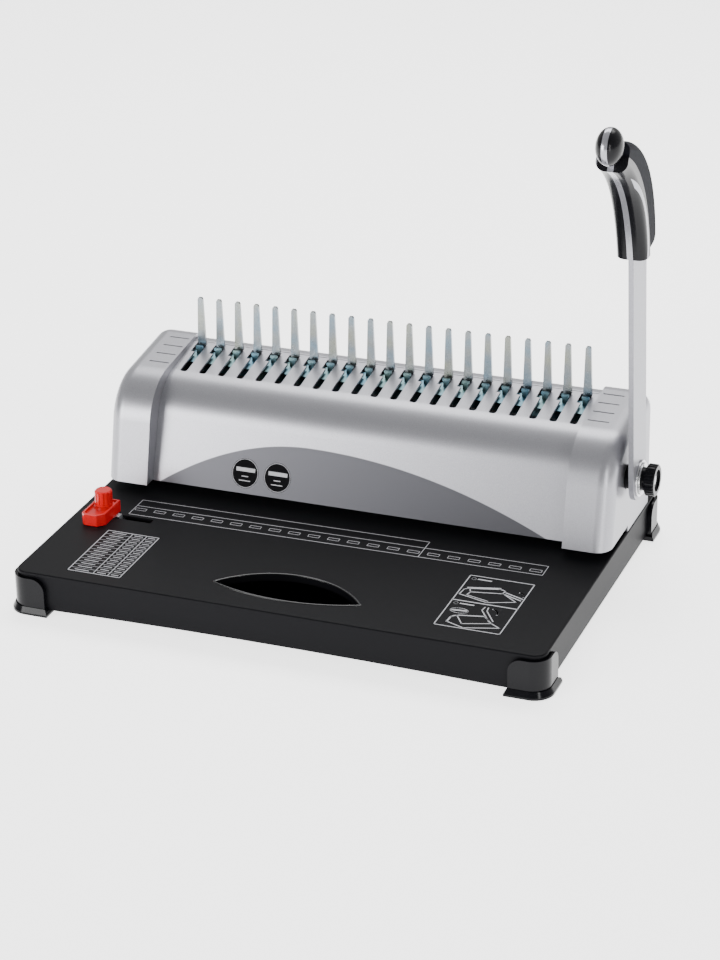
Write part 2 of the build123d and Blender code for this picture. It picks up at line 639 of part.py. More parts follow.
def make_circlip():
    x = -FRAME_X - FRAME_T - 1.5
    clip = rod_x(x - 1.3, x - 0.1, PUNCH_Y, SHAFT_Z, SHAFT_D + 5)
    clip -= rod_x(x - 3, x + 1, PUNCH_Y, SHAFT_Z, SHAFT_D + 0.02)
    return clip - box(x - 3, x + 1, PUNCH_Y - 2, PUNCH_Y + 2, SHAFT_Z, SHAFT_Z + 12)


def make_pivot_knob():
    """Knurled retaining knob with a narrower collar and a dished face."""
    collar = rod_x(KNOB_X, KNOB_X + KNOB_COLLAR_T + 1, PUNCH_Y, SHAFT_Z, KNOB_COLLAR_D)
    x0 = KNOB_X + KNOB_COLLAR_T
    grip = rod_x(x0, KNOB_END, PUNCH_Y, SHAFT_Z, KNOB_D)
    grip = chamfer(grip.edges().filter_by(GeomType.CIRCLE), 0.9)
    flutes = 28
    for i in range(flutes):
        a = 2 * math.pi * i / flutes
        y, z = PUNCH_Y + KNOB_D / 2 * math.cos(a), SHAFT_Z + KNOB_D / 2 * math.sin(a)
        grip -= rod_x(x0 - 1, KNOB_END + 1, y, z, 1.3)
    dish = rod_x(KNOB_END - 1.4, KNOB_END + 1, PUNCH_Y, SHAFT_Z, KNOB_D - 7)
    bore = rod_x(KNOB_X - 1, KNOB_END + 1, PUNCH_Y, SHAFT_Z, SHAFT_D - 4 + 0.1)
    return collar + grip - dish - bore


# ---- lever ----
def leaning(shape):
    """Turns a shape drawn upright about the pivot into the lever's rest position."""
    pivot = Axis((0, PUNCH_Y, SHAFT_Z), (1, 0, 0))
    return shape.rotate(pivot, LEAN)


def make_lever():
    """Flat bar with a round lower end and a narrower tang inside the grip."""
    x0, x1 = LEVER_X, LEVER_X + LEVER_T
    z = SHAFT_Z
    bar = rod_x(x0, x1, PUNCH_Y, z, LEVER_W)
    bar += box(x0, x1, PUNCH_Y - LEVER_W / 2, PUNCH_Y + LEVER_W / 2, z, z + LEVER_BAR)
    bar += box(x0, x1, PUNCH_Y - TANG_W / 2, PUNCH_Y + TANG_W / 2, z, z + LEVER_L)
    bar -= rod_x(x0 - 1, x1 + 1, PUNCH_Y, z, SHAFT_D + 0.1)
    return leaning(bar)


def make_hub():
    hub = rod_x(ARM_X + 0.5, LEVER_X, PUNCH_Y, SHAFT_Z, HUB_D)
    return hub - rod_x(ARM_X, LEVER_X + 1, PUNCH_Y, SHAFT_Z, SHAFT_D + 0.1)


def make_finger():
    """Opener finger: it hangs from the hub, half the opening angle behind the vertical."""
    half = math.radians(OPEN_ANGLE / 2)
    y, z = PUNCH_Y + FINGER_R * math.sin(half), SHAFT_Z - FINGER_R * math.cos(half)
    finger = rod_x(FINGER_X0, FINGER_X1, y, z, FINGER_TIP)
    finger += rod_x(FINGER_X0, FINGER_X1, PUNCH_Y, SHAFT_Z, HUB_D + 5)
    arm = box(FINGER_X0, FINGER_X1, PUNCH_Y - FINGER_W / 2, PUNCH_Y + FINGER_W / 2,
              SHAFT_Z - FINGER_R, SHAFT_Z)
    finger += arm.rotate(Axis((0, PUNCH_Y, SHAFT_Z), (1, 0, 0)), OPEN_ANGLE / 2)
    return finger - rod_x(FINGER_X0 - 1, FINGER_X1 + 1, PUNCH_Y, SHAFT_Z, HUB_D + 0.02)


def grip_place(t, side):
    """A point of the grip's side view: t runs from its lower end to its ball, and side from
    the front (-1) through the middle line (0) to the rear (1)."""
    foot = (PUNCH_Y - 16.5, SHAFT_Z + LEVER_BAR - 2)
    reach, rise = GRIP_BALL_Y - foot[0], GRIP_BALL_Z - foot[1]
    y = foot[0] + reach * (0.25 * t + 0.75 * t ** 2)
    z = foot[1] + rise * (1.5 * t - 0.5 * t ** 2)
    dy, dz = reach * (0.25 + 1.5 * t), rise * (1.5 - t)
    size = math.hypot(dy, dz)
    close_in = 0.22 if side < 0 else GRIP_TAPER
    depth = GRIP_DEPTH / 2 * (1 - close_in * t ** 2) * (1 - 0.2 * (1 - t) ** 4)
    return (y + side * depth * dz / size, z - side * depth * dy / size)


def grip_strip(front, rear, t_end):
    """Side view of a lengthwise strip of the grip."""
    steps = [t_end * i / 4 for i in range(5)]
    up = Spline(*[grip_place(t, front) for t in steps])
    down = Spline(*[grip_place(t, rear) for t in reversed(steps)])
    return make_face(Wire([up, Line(up @ 1, down @ 0), down, Line(down @ 1, up @ 0)]))


def round_long_edges(strip, middle, half, radius, which):
    """Rounds the lengthwise edges on both sides of a grip strip: its front or its rear ones."""
    long_edges = strip.edges().filter_by(lambda e: abs(abs(e.center().X - middle) - half) < 0.1
                                         and e.length > GRIP_DEPTH + 4)
    ordered = long_edges.sort_by(Axis.Y)
    return fillet(ordered[:2] if which == "front" else ordered[-2:], radius)


def lever_pocket():
    """The room that the lever and its tang take inside the grip."""
    x0, x1, low = LEVER_X - SEAT, LEVER_X + LEVER_T + SEAT, SHAFT_Z + LEVER_BAR / 2
    tang, wide = TANG_W / 2 + SEAT, LEVER_W / 2 + SEAT
    pocket = box(x0, x1, PUNCH_Y - tang, PUNCH_Y + tang, low, SHAFT_Z + LEVER_L + SEAT)
    pocket += box(x0, x1, PUNCH_Y - wide, PUNCH_Y + wide, low, SHAFT_Z + LEVER_BAR + SEAT)
    return leaning(pocket)


def grip_ball(grow):
    """The egg-shaped end: round seen from the side and narrower across."""
    ball = scale(Sphere(GRIP_BALL_D / 2 + grow), (GRIP_BALL_X / GRIP_BALL_D, 1, 1))
    return Pos(LEVER_X + LEVER_T / 2, GRIP_BALL_Y, GRIP_BALL_Z) * ball


def make_grip_shell():
    middle, half = LEVER_X + LEVER_T / 2, GRIP_X / 2
    shell = along_x(grip_strip(-1, PAD_SIDE - 0.02, 0.92), middle - half, middle + half)
    shell = round_long_edges(shell, middle, half, half * 0.6, "front")
    return shell + grip_ball(0) - lever_pocket()


def make_grip_pad():
    """Soft rear pad: rounded along its back and at its lower end."""
    middle, half = LEVER_X + LEVER_T / 2, GRIP_X / 2 - PAD_STEP
    outline = grip_strip(PAD_SIDE, 1, 0.9)
    heel = outline.vertices().sort_by_distance(grip_place(0, 1))[0]
    pad = along_x(fillet(heel, 9), middle - half, middle + half)
    pad = round_long_edges(pad, middle, half, half * 0.6, "rear")
    return pad - grip_ball(SEAT) - lever_pocket()


# ---- side stop ----
def make_stop_block():
    x0, x1 = STOP_X - STOP_W / 2, STOP_X + STOP_W / 2
    y1 = STOP_Y + STOP_KNOB_D / 2 + 2.5
    y0 = y1 - STOP_L
    z0 = TOP_Z + SEAT
    plan = make_face(Polyline((x0, y1), (x0, y0 + 2.5), (x0 + 2.5, y0), (x1 - 4.5, y0), (x1, y0 + 4.5),
                              (x1, y1), close=True))
    block = extrude(Pos(0, 0, z0) * plan, STOP_H)
    block = fillet(block.faces().sort_by(Axis.Z)[-1].edges(), 0.6)
    tray = offset(plan, -1.4, kind=Kind.INTERSECTION)
    block -= extrude(Pos(0, 0, z0 + STOP_H - 1.6) * tray, 5)
    block += rod_z(STOP_X, STOP_Y, z0 + 2, z0 + STOP_H - 0.8, STOP_KNOB_D + 2.2)
    return block - rod_z(STOP_X, STOP_Y, TOP_Z - 10, TOP_Z + 30, STUD_HOLE)


def make_stop_knob():
    low = TOP_Z + SEAT + STOP_H - 0.8 + SEAT
    knob = rod_z(STOP_X, STOP_Y, low, low + STOP_KNOB_H, STOP_KNOB_D)
    knob = chamfer(knob.faces().sort_by(Axis.Z)[-1].edges(), 1.0)
    flutes = 12
    for i in range(flutes):
        a = 2 * math.pi * i / flutes
        x, y = STOP_X + STOP_KNOB_D / 2 * math.cos(a), STOP_Y + STOP_KNOB_D / 2 * math.sin(a)
        knob -= rod_z(x, y, low + 1.4, low + STOP_KNOB_H + 1, 1.5)
    return knob - rod_z(STOP_X, STOP_Y, low - 1, low + STOP_KNOB_H - 3, STUD_HOLE)


def make_stop_stud():
    top = TOP_Z + SEAT + STOP_H - 0.8 + SEAT + STOP_KNOB_H - 3.4
    head_low = TOP_Z - PLATE_T - 5.6
    return rod_z(STOP_X, STOP_Y, head_low, head_low + 2.6, 2 * STUD_D) + rod_z(STOP_X, STOP_Y, head_low, top, STUD_D)


def make_stop_guide():
    """Clamp strip under the base top, with a bright tongue that shows in the slot."""
    top = TOP_Z - PLATE_T - GAP
    x1 = STOP_X + STOP_W / 2 + 6.6
    strip = box(STOP_X - 5, x1, STOP_Y - 6, STOP_Y + 6, top - 2.4, top)
    half = STOP_SLOT / 2 - GAP
    tongue = Polyline((STOP_X + 3, top - 1), (STOP_X + 3, TOP_Z), (STOP_X + STOP_W / 2 + 1, TOP_Z),
                      (STOP_X + STOP_W / 2 + 1.4, TOP_Z + 1.2), (x1 - 3, TOP_Z + 0.8), (x1, top - 1),
                      close=True)
    strip += extrude(Plane.XZ.offset(-STOP_Y) * make_face(tongue), half, both=True)
    return strip - rod_z(STOP_X, STOP_Y, TOP_Z - 20, TOP_Z + 30, STUD_HOLE)


# ---- chip tray ----
def make_tray():
    x0, x1 = -HALF_W + LIP, FRAME_X - 12
    y0, y1 = PUNCH_Y - TRAY_W / 2, PUNCH_Y + TRAY_W / 2
    z1 = TRAY_Z + TRAY_H
    tray = box(x0, x1, y0, y1, TRAY_Z, z1)
    tray -= box(x0 + 2.2, x1 - 1.6, y0 + 1.6, y1 - 1.6, TRAY_Z + 1.6, z1 + 1)
    pull = box(x0 - 3, x0 + 1, PUNCH_Y - 9, PUNCH_Y + 9, z1 - 4, z1 - 1.6)
    return tray + fillet(pull.edges().filter_by(Axis.Z).group_by(Axis.X)[0], 2)


def make_tray_guides():
    z0 = FLOOR_Z + SHEET_T
    y = TRAY_W / 2 + GAP
    rail = box(-HALF_W + 6, FRAME_X - 12, PUNCH_Y + y, PUNCH_Y + y + 1.5, z0, z0 + 7)
    foot = box(-HALF_W + 6, FRAME_X - 12, PUNCH_Y + y, PUNCH_Y + y + 8, z0, z0 + 1.2)
    right = rail + foot
    left = Pos(0, 2 * PUNCH_Y, 0) * mirror(right, about=Plane.XZ)
    return one([right, left])


parts["side_frame_right"] = make_side_frame()
parts["side_frame_left"] = mirror_x(make_side_frame())
parts["frame_screws"] = one(
    make_screw(x, y, TOP_Z + SEAT + FRAME_T, 9) for x, y in frame_screw_places())
parts["tie_rods"] = make_tie_rods()
parts["shaft_bushes"] = make_bushes()
parts["die_plate"] = make_die()
parts["throat_spacer"] = make_spacer()
parts["guide_plate"] = make_guide()
parts["guide_posts"] = make_posts()
parts["punch_springs"] = make_punch_springs()
parts["punch_bar"] = make_punch_bar()
parts["punch_pins"] = make_pins()
parts["comb_rake"] = make_rake()
parts["hook_plate"] = make_hook_plate()
parts["opener_arm"] = make_opener_arm()
parts["hook_springs"] = make_hook_springs()
parts["main_shaft"] = make_shaft()
parts["cam_left"] = make_cam(-CAM_X)
parts["cam_right"] = make_cam(CAM_X)
parts["pivot_washers"] = make_washers()
parts["shaft_circlip"] = make_circlip()
parts["pivot_knob"] = make_pivot_knob()
parts["lever_bar"] = make_lever()
parts["lever_hub"] = make_hub()
parts["opener_finger"] = make_finger()
parts["grip_shell"] = make_grip_shell()
parts["grip_pad"] = make_grip_pad()
parts["side_stop_block"] = make_stop_block()
parts["side_stop_knob"] = make_stop_knob()
parts["side_stop_stud"] = make_stop_stud()
parts["side_stop_guide"] = make_stop_guide()
parts["chip_tray"] = make_tray()
parts["tray_guides"] = make_tray_guides()

os.makedirs("parts", exist_ok=True)
for name, shape in parts.items():
    export_step(Pos(-ORIGIN_X, 0, 0) * shape, "parts/" + name + ".step")
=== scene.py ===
import bpy
import json
import math
from mathutils import Matrix, Vector


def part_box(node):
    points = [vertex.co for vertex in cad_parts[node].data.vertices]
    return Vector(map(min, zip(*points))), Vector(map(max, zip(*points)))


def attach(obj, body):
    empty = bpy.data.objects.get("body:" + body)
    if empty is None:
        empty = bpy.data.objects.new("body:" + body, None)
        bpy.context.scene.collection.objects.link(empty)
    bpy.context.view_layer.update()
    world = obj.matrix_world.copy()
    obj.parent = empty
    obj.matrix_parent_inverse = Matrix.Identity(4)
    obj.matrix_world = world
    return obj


# Plastic-comb binding machine: finishes, printed marks, the rim of the finger opening, studio and camera.
# Lengths are written in millimetres and turned into the frame's metres by MM.

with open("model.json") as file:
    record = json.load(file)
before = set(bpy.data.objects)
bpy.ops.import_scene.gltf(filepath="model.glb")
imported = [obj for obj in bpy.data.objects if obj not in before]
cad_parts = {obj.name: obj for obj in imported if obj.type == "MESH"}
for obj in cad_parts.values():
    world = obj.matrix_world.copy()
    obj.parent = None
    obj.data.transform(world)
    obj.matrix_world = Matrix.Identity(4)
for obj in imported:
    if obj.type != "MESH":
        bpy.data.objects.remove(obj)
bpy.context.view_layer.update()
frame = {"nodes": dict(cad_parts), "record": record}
nodes = frame["nodes"]
MM = 0.001


# ---- places worked out from the frame ----
def corners_mm(node):
    """A node's lowest and highest corner at rest."""
    return [[v / MM for v in corner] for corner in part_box(node)]


BASE_LOW, BASE_HIGH = corners_mm("base_tray")
GRIP_LOW, GRIP_HIGH = corners_mm("grip_shell")
COVER_LOW = corners_mm("front_cover")[0]
MID_X = (BASE_LOW[0] + BASE_HIGH[0]) / 2          # middle of the base, and of the row of tines
TOP_Z = BASE_HIGH[2]                              # working surface
GRIP_X = (GRIP_LOW[0] + GRIP_HIGH[0]) / 2
COVER_FOOT_Y, COVER_FOOT_Z = COVER_LOW[1:]        # foot of the middle cover's front

# ---- sizes that the frame doesn't give ----
HOLES, PITCH = 21, 14.2875                        # punched holes, and the distance between them
COVER_KNEE_Y = 40.0                               # where the middle cover's front and top would meet
COVER_KNEE_Z = TOP_Z + 69.3
WELL_HALF, WELL_Y = 51.0, -102.5                  # finger opening: half its length, and its line of tips
WELL_REAR, WELL_FRONT = 25.5, 10.2                # rise of its rear and of its front arc
WELL_BEAD = 0.9                                   # half-width of its rolled rim
WELL_BEAD_H = 0.45

PRINT_T = 0.06                                    # thickness of printed marks
LINE = 0.4                                        # width of a printed line

ARCH_X, ARCH_Z = MID_X - 36, 70.8                 # peak of the grey arch on the middle cover
ARCH_FOOT_Z = 31.0
ARCH_LEFT, ARCH_RIGHT = 115.0, 182.0              # peak to each foot
ARCH_DEPTH = 45.0                                 # the arch is printed only in front of this Y
ARCH_EDGE = 0.5                                   # softness of its outline

INLAY_FRONT = (-2.2, 1.6)                         # silver inlays of the grip, from its middle
INLAY_LEFT = (-12.0, -9.2)
INLAY_SIDE_X = 8.5                                # the arched inlay is right of this
INLAY_SIDE_R = (71.0, 74.0)                       # and between these radii
INLAY_CENTRE = (-45.0, 238.0)                     # about this Y and Z

# ---- colours, darker than real because the view transform lifts them ----
SILVER = (0.33, 0.33, 0.355)
SILVER_INLAY = (0.34, 0.34, 0.37)
ARCH_GREY = (0.055, 0.055, 0.062)
GRIP_BLACK = (0.004, 0.004, 0.005)
WHITE = (1.0, 1.0, 1.0)

# ---- studio ----
FLOOR_HALF, FLOOR_GLOW = 6.0, 2.4                 # metres, and emission strength
WORLD_DARK, WORLD_LIGHT = 0.32, 1.0               # strength in front and behind
WORLD_SPAN = (-0.5, 0.9)                          # directions between which it changes
AREA_LIGHTS = (                                   # name, place, target and size in metres, power in W
    ("front_left", (-1.25, -1.75, 0.55), (-0.1, 0.05, 0.05), (1.0, 0.9), 42),
    ("front_right", (1.3, -1.2, 0.5), (0.15, 0.05, 0.08), (0.25, 0.9), 10),
    ("top", (0.0, 0.9, 1.5), (0, 0.05, 0.05), (1.8, 0.8), 30),
)
CAMERA_AT = (634.05, -1605.6, 869.0)
CAMERA_AZIMUTH, CAMERA_ELEVATION, CAMERA_ROLL = 21.4, 24.92, -1.02    # degrees
CAMERA_LENS, CAMERA_SENSOR, CAMERA_FAR = 106.1, 36.0, 50               # mm, mm and metres


# ---- shader nodes ----
def new_material(name):
    mat = bpy.data.materials.new(name)
    mat.use_nodes = True
    tree = mat.node_tree
    return mat, tree.nodes, tree.links, tree.nodes["Principled BSDF"]


def object_noise(nds, lks, scale, detail=3.0):
    coords = nds.new("ShaderNodeTexCoord")
    noise = nds.new("ShaderNodeTexNoise")
    noise.inputs["Scale"].default_value = scale
    noise.inputs["Detail"].default_value = detail
    lks.new(coords.outputs["Object"], noise.inputs["Vector"])
    return noise


def split_coordinates(nds, lks, kind):
    """X, Y and Z outputs of one kind of texture coordinate."""
    coords = nds.new("ShaderNodeTexCoord")
    split = nds.new("ShaderNodeSeparateXYZ")
    lks.new(coords.outputs[kind], split.inputs[0])
    return split.outputs


def add_bump(nds, lks, bsdf, height, distance_mm, strength=0.5):
    bump = nds.new("ShaderNodeBump")
    bump.inputs["Strength"].default_value = strength
    bump.inputs["Distance"].default_value = distance_mm * MM
    lks.new(height, bump.inputs["Height"])
    lks.new(bump.outputs["Normal"], bsdf.inputs["Normal"])


def ramp(nds, lks, value, low, high, start=0.35, end=0.65, middle=None):
    """Colour output that runs from low to high, through middle at 0.5 if that is given."""
    node = nds.new("ShaderNodeValToRGB")
    elements = node.color_ramp.elements
    elements[0].position, elements[1].position = start, end
    elements[0].color, elements[1].color = (*low, 1), (*high, 1)
    if middle:
        elements.new(0.5).color = (*middle, 1)
    lks.new(value, node.inputs["Fac"])
    return node.outputs["Color"]


def map_range(nds, lks, value, to_low, to_high, from_low=0.0, from_high=1.0):
    node = nds.new("ShaderNodeMapRange")
    for name, number in (("From Min", from_low), ("From Max", from_high),
                         ("To Min", to_low), ("To Max", to_high)):
        node.inputs[name].default_value = number
    lks.new(value, node.inputs["Value"])
    return node.outputs["Result"]


def math_node(nds, lks, operation, *values, clamp=False):
    """Result of one operation on numbers or outputs."""
    node = nds.new("ShaderNodeMath")
    node.operation = operation
    node.use_clamp = clamp
    for socket, value in zip(node.inputs, values):
        if isinstance(value, (int, float)):
            socket.default_value = value
        else:
            lks.new(value, socket)
    return node.outputs[0]


def between(nds, lks, value, low, high):
    """1 where value, in metres, lies between low and high, in millimetres."""
    above = math_node(nds, lks, "GREATER_THAN", value, low * MM)
    below = math_node(nds, lks, "LESS_THAN", value, high * MM)
    return math_node(nds, lks, "MULTIPLY", above, below)


def mix_colors(nds, lks, mask, color, painted):
    """color where mask is 0 and painted where it is 1; color is a tuple or an output."""
    mix = nds.new("ShaderNodeMix")
    mix.data_type = "RGBA"
    lks.new(mask, mix.inputs["Factor"])
    if isinstance(color, tuple):
        mix.inputs["A"].default_value = (*color, 1)
    else:
        lks.new(color, mix.inputs["A"])
    mix.inputs["B"].default_value = (*painted, 1)
    return mix.outputs["Result"]


# ---- materials ----
def make_plain(name, color, roughness, metallic=0.0, grain=900.0, vary=0.06, bump=0.01, shine=0.5):
    """A surface with a slight cloud in its colour and a fine grain."""
    mat, nds, lks, bsdf = new_material(name)
    noise = object_noise(nds, lks, grain)
    dark = tuple(c * (1 - vary) for c in color)
    light = tuple(min(1.0, c * (1 + vary)) for c in color)
    lks.new(ramp(nds, lks, noise.outputs["Fac"], dark, light), bsdf.inputs["Base Color"])
    bsdf.inputs["Roughness"].default_value = roughness
    bsdf.inputs["Metallic"].default_value = metallic
    bsdf.inputs["Specular IOR Level"].default_value = shine
    if bump:
        add_bump(nds, lks, bsdf, noise.outputs["Fac"], bump)
    return mat


def add_arch(nds, lks, color):
    """Mixes in a darker grey below a parabolic arch that peaks left of the middle."""
    x, y, z = split_coordinates(nds, lks, "Object")
    off = math_node(nds, lks, "SUBTRACT", x, ARCH_X * MM)
    to_left = math_node(nds, lks, "DIVIDE", off, -ARCH_LEFT * MM)
    to_right = math_node(nds, lks, "DIVIDE", off, ARCH_RIGHT * MM)
    across = math_node(nds, lks, "MAXIMUM", to_left, to_right)
    square = math_node(nds, lks, "MULTIPLY", across, across)
    drop = math_node(nds, lks, "MULTIPLY", square, (ARCH_Z - ARCH_FOOT_Z) * MM)
    edge = math_node(nds, lks, "SUBTRACT", ARCH_Z * MM, drop)
    inside = math_node(nds, lks, "SUBTRACT", edge, z)
    mask = math_node(nds, lks, "MULTIPLY", inside, 1 / (ARCH_EDGE * MM), clamp=True)
    front = math_node(nds, lks, "LESS_THAN", y, ARCH_DEPTH * MM)
    return mix_colors(nds, lks, math_node(nds, lks, "MULTIPLY", mask, front), color, ARCH_GREY)


def make_silver(name, arch=False):
    """Metallic silver paint; the middle cover also has the printed grey arch on its front."""
    mat, nds, lks, bsdf = new_material(name)
    noise = object_noise(nds, lks, 2600.0, 2.0)
    dark = tuple(c * 0.88 for c in SILVER)
    light = tuple(c * 1.12 for c in SILVER)
    color = ramp(nds, lks, noise.outputs["Fac"], dark, light)
    if arch:
        color = add_arch(nds, lks, color)
    lks.new(color, bsdf.inputs["Base Color"])
    bsdf.inputs["Metallic"].default_value = 0.75
    bsdf.inputs["Roughness"].default_value = 0.34
    add_bump(nds, lks, bsdf, noise.outputs["Fac"], 0.01, 0.3)
    return mat


def make_grip_finish():
    """Gloss black with lengthwise silver inlays: a wide one down the front, carried over the ball,
    one at the left edge and an arched one on the right side."""
    mat, nds, lks, bsdf = new_material("grip with silver inlays")
    x, y, z = split_coordinates(nds, lks, "Object")
    front = between(nds, lks, x, GRIP_X + INLAY_FRONT[0], GRIP_X + INLAY_FRONT[1])
    left = between(nds, lks, x, GRIP_X + INLAY_LEFT[0], GRIP_X + INLAY_LEFT[1])
    offsets = [math_node(nds, lks, "SUBTRACT", output, centre * MM)
               for output, centre in zip((y, z), INLAY_CENTRE)]
    squares = [math_node(nds, lks, "MULTIPLY", offset, offset) for offset in offsets]
    radius = math_node(nds, lks, "SQRT", math_node(nds, lks, "ADD", *squares))
    side = math_node(nds, lks, "GREATER_THAN", x, (GRIP_X + INLAY_SIDE_X) * MM)
    arched = math_node(nds, lks, "MULTIPLY", side, between(nds, lks, radius, *INLAY_SIDE_R))
    inlays = math_node(nds, lks, "MAXIMUM", math_node(nds, lks, "MAXIMUM", front, left), arched)
    lks.new(mix_colors(nds, lks, inlays, GRIP_BLACK, SILVER_INLAY), bsdf.inputs["Base Color"])
    lks.new(math_node(nds, lks, "MULTIPLY", inlays, 0.7), bsdf.inputs["Metallic"])
    fine = object_noise(nds, lks, 2000.0)
    lks.new(math_node(nds, lks, "MULTIPLY", fine.outputs["Fac"], 0.4), bsdf.inputs["Roughness"])
    bsdf.inputs["Specular IOR Level"].default_value = 0.16
    return mat


def make_zinc(name, tint, roughness=0.28):
    """Plated steel with a faint blue to yellow sheen that changes slowly over it."""
    mat, nds, lks, bsdf = new_material(name)
    blue = tuple(c * k for c, k in zip(tint, (0.72, 0.9, 1.05)))
    yellow = tuple(c * k for c, k in zip(tint, (1.1, 1.05, 0.85)))
    cloud = object_noise(nds, lks, 60.0, 4.0).outputs["Fac"]
    lks.new(ramp(nds, lks, cloud, blue, yellow, 0.32, 0.7, tint), bsdf.inputs["Base Color"])
    bsdf.inputs["Metallic"].default_value = 1.0
    fine = object_noise(nds, lks, 1500.0).outputs["Fac"]
    lks.new(map_range(nds, lks, fine, roughness - 0.08, roughness + 0.1), bsdf.inputs["Roughness"])
    return mat


materials = {
    "black_sheet": make_plain("black sheet paint", (0.0035, 0.0035, 0.0045), 0.45, grain=1400,
                              bump=0.02, shine=0.07),
    "silver_band": make_silver("silver paint with grey arch", arch=True),
    "silver_paint": make_silver("silver paint"),
    "silver_plastic": make_silver("silver end cap"),
    "silver_lever": make_plain("silver lever paint", (0.27, 0.27, 0.295), 0.35, metallic=0.7),
    "gloss_black": make_plain("gloss black", (0.003, 0.003, 0.004), 0.18, bump=0, shine=0.14),
    "grip": make_grip_finish(),
    "soft_pad": make_plain("soft pad", (0.007, 0.0075, 0.011), 0.75, grain=420, vary=0.3, bump=0.25,
                           shine=0.12),
    "red_plastic": make_plain("red plastic", (0.62, 0.004, 0.006), 0.25, bump=0, shine=0.4),
    "matte_black": make_plain("matte black plastic", (0.02, 0.02, 0.022), 0.6),
    "rubber_pad": make_plain("rubber", (0.015, 0.015, 0.015), 0.85, bump=0.05),
    "zinc_plate": make_zinc("zinc plate", (0.22, 0.24, 0.25)),
    "zinc_hook": make_zinc("zinc hooks", (0.14, 0.24, 0.27), 0.3),
    "steel": make_plain("bright steel", (0.62, 0.62, 0.63), 0.22, metallic=1.0),
    "bronze_bush": make_plain("bronze", (0.45, 0.28, 0.12), 0.35, metallic=1.0),
    "white_print": make_plain("white print", (0.5, 0.5, 0.53), 0.6, bump=0),
    "black_print": make_plain("black print", (0.004, 0.004, 0.005), 0.7, bump=0, shine=0.05),
    "black_lip": make_plain("rolled lip", (0.004, 0.004, 0.005), 0.2, bump=0, shine=0.5),
}
# The lever hub is steel; it gets the black sheet paint as painted shade, standing for the dark shadow gap
# between the end cap and the lever.
own_finish_or_painted_shade = {"front_cover": "silver_band", "hook_plate": "zinc_hook", "grip_shell": "grip",
              "lever_hub": "black_sheet"}


def finish_nodes():
    """Gives each CAD node the finish of its material slot, or its own where it has one; the steel lever
    hub's own is the black sheet paint, as painted shade for the shadow gap beside it.
    """
    slots = {entry["node"]: entry["material_slot"] for entry in frame["record"]["subparts"]}
    for node, obj in nodes.items():
        obj.data.materials.clear()
        obj.data.materials.append(materials[own_finish_or_painted_shade.get(node, slots[node])])


# ---- shapes of printed marks ----
def link_mesh(name, verts, faces, material):
    """A new object from points in metres."""
    mesh = bpy.data.meshes.new(name)
    mesh.from_pydata(verts, [], faces)
    mesh.update()
    mesh.materials.append(material)
    obj = bpy.data.objects.new(name, mesh)
    bpy.context.scene.collection.objects.link(obj)
    return obj


def add_piece(name, verts_mm, faces, material):
    """A new piece of the base."""
    piece = link_mesh(name, [Vector(v) * MM for v in verts_mm], faces, materials[material])
    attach(piece, "base")
    return piece


class Print:
    """Flat marks on one surface, gathered into one mesh. place(u, v, h) gives the point at u, v
    on the surface and h above it."""

    def __init__(self, place, lift=0.0):
        self.place, self.lift = place, lift
        self.verts, self.faces = [], []

    def fill(self, points):
        """A filled convex outline, given anticlockwise."""
        n, k = len(points), len(self.verts)
        for h in (self.lift, self.lift + PRINT_T):
            self.verts += [self.place(u, v, h) for u, v in points]
        self.faces.append([k + n + i for i in range(n)])
        self.faces.append([k + i for i in reversed(range(n))])
        for i in range(n):
            j = (i + 1) % n
            self.faces.append([k + i, k + j, k + n + j, k + n + i])

    def line(self, points, width=LINE, closed=False):
        """A drawn line: one strip for each stretch."""
        ends = points[1:] + (points[:1] if closed else [])
        for (u0, v0), (u1, v1) in zip(points, ends):
            length = math.hypot(u1 - u0, v1 - v0)
            du, dv = (u1 - u0) / length * width / 2, (v1 - v0) / length * width / 2
            self.fill([(u0 - du + dv, v0 - dv - du), (u1 + du + dv, v1 + dv - du),
                       (u1 + du - dv, v1 + dv + du), (u0 - du - dv, v0 - dv + du)])

    def box(self, u0, v0, u1, v1, width=LINE):
        self.line([(u0, v0), (u1, v0), (u1, v1), (u0, v1)], width, closed=True)

    def disc(self, u, v, r, n=40):
        turns = [2 * math.pi * i / n for i in range(n)]
        self.fill([(u + r * math.cos(a), v + r * math.sin(a)) for a in turns])

    def arc(self, u, v, ru, rv, a0, a1, width=LINE, n=16):
        angles = [math.radians(a0 + (a1 - a0) * i / n) for i in range(n + 1)]
        self.line([(u + ru * math.cos(a), v + rv * math.sin(a)) for a in angles], width)

    def finish(self, name, material):
        add_piece(name, self.verts, self.faces, material)


def on_top(u, v, h):
    """A point on the base's top, with u measured from its middle."""
    return (MID_X + u, v, TOP_Z + h)


def print_ruler():
    """The paper-edge rule: two lengthwise bands and an outlined mark for each punched hole."""
    marks = Print(on_top)
    left, right, short = -148.0, 148.9, 62.7
    front, step, rear = -27.5, -10.0, -0.5
    slope = 3.6                                   # the drawn lines aren't quite square to the base
    mark_half, mark_front, mark_rear = 4.0, -20.2, -17.0
    marks.line([(left, front), (right, front + slope)])
    marks.line([(left, step - slope), (right, step)])
    marks.line([(left, rear - slope), (short, rear - 1)])
    marks.line([(left, front), (left, rear - slope)])
    marks.line([(short, front + 3), (short, rear - 1)])
    marks.line([(right, front + slope), (right, step)])
    for i in range(HOLES):
        u = (i - (HOLES - 1) / 2) * PITCH
        marks.box(u - mark_half, mark_front, u + mark_half, mark_rear, 0.32)
    marks.finish("ruler_print", "white_print")


